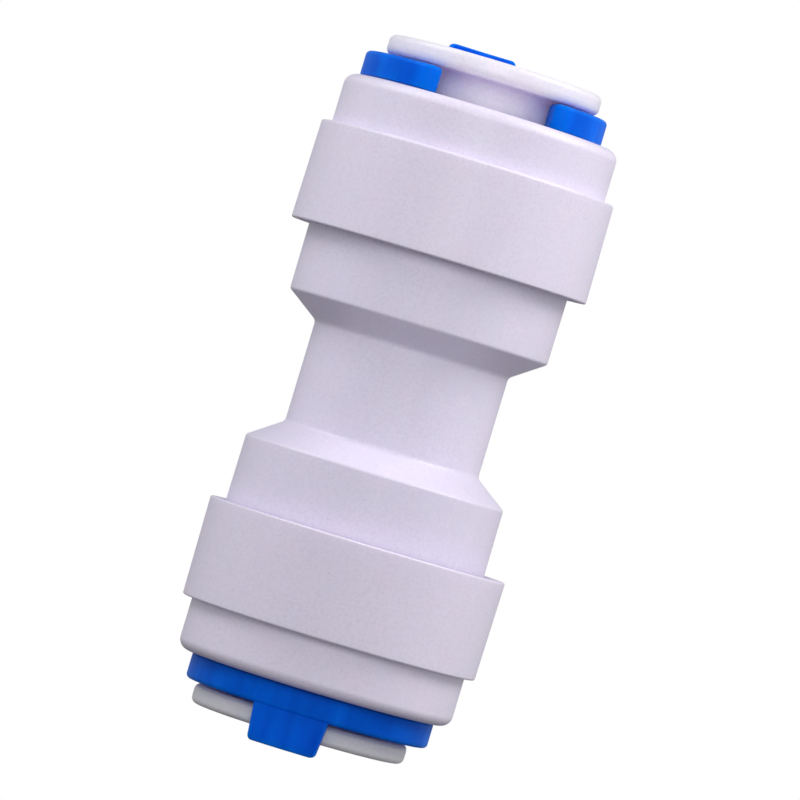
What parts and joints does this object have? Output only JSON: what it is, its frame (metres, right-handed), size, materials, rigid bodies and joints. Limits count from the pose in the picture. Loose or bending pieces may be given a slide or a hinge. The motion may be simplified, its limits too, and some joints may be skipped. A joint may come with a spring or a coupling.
{
  "type": "push fit coupling",
  "caption": "Straight push fit coupling for small plastic water tube, with release collets, welded end caps and blue pull-off locking clips.",
  "frame": {"origin": "middle of the body, on the axis of the tube bores", "axes": "+Z along the bores' axis towards the upper end, whose clip is pulled off towards +Y (7 degrees to the -X side of it); the lower clip is pulled off towards -Y"},
  "size_m": [0.0176, 0.0174, 0.0412],
  "materials": {
    "body_acetal": "satin white acetal, injection moulded",
    "cap_acetal": "satin white acetal, injection moulded",
    "collet_acetal": "satin white acetal, injection moulded",
    "ring_acetal": "white acetal, injection moulded",
    "clip_blue": "semi-gloss blue plastic, injection moulded",
    "seal_rubber": "black nitrile rubber, lightly greased",
    "tooth_steel": "stainless steel strip, sheared edges"
  },
  "bodies": {
    "body": {"coupling_body": "body_acetal", "upper_cap": "cap_acetal", "upper_inner_o_ring": "seal_rubber", "upper_spacer_ring": "ring_acetal", "upper_outer_o_ring": "seal_rubber", "upper_retaining_washer": "ring_acetal", "lower_cap": "cap_acetal", "lower_inner_o_ring": "seal_rubber", "lower_spacer_ring": "ring_acetal", "lower_outer_o_ring": "seal_rubber", "lower_retaining_washer": "ring_acetal"},
    "upper_collet": {"upper_collet": "collet_acetal", "upper_grip_tooth_1": "tooth_steel", "upper_grip_tooth_2": "tooth_steel", "upper_grip_tooth_3": "tooth_steel", "upper_grip_tooth_4": "tooth_steel"},
    "upper_clip": {"upper_locking_clip": "clip_blue"},
    "lower_collet": {"lower_collet": "collet_acetal", "lower_grip_tooth_1": "tooth_steel", "lower_grip_tooth_2": "tooth_steel", "lower_grip_tooth_3": "tooth_steel", "lower_grip_tooth_4": "tooth_steel"},
    "lower_clip": {"lower_locking_clip": "clip_blue"}
  },
  "joints": [
    {"name": "upper_clip_pull", "type": "slide", "parent": "body", "child": "upper_clip", "axis": [-0.1219, 0.9925, 0], "range_m": [0, 0.022], "deforming": ["upper_locking_clip"]},
    {"name": "upper_collet_release", "type": "slide", "parent": "body", "child": "upper_collet", "axis": [0, 0, -1], "range_m": [0, 0.0015]},
    {"name": "lower_clip_pull", "type": "slide", "parent": "body", "child": "lower_clip", "axis": [-0.1219, -0.9925, 0], "range_m": [0, 0.022], "deforming": ["lower_locking_clip"]},
    {"name": "lower_collet_release", "type": "slide", "parent": "body", "child": "lower_collet", "axis": [0, 0, 1], "range_m": [0, 0.0015]}
  ],
  "couplings": [
    {"joint": "upper_collet_release", "follows": "upper_clip_pull", "ratio": 0.068},
    {"joint": "lower_collet_release", "follows": "lower_clip_pull", "ratio": 0.068}
  ]
}
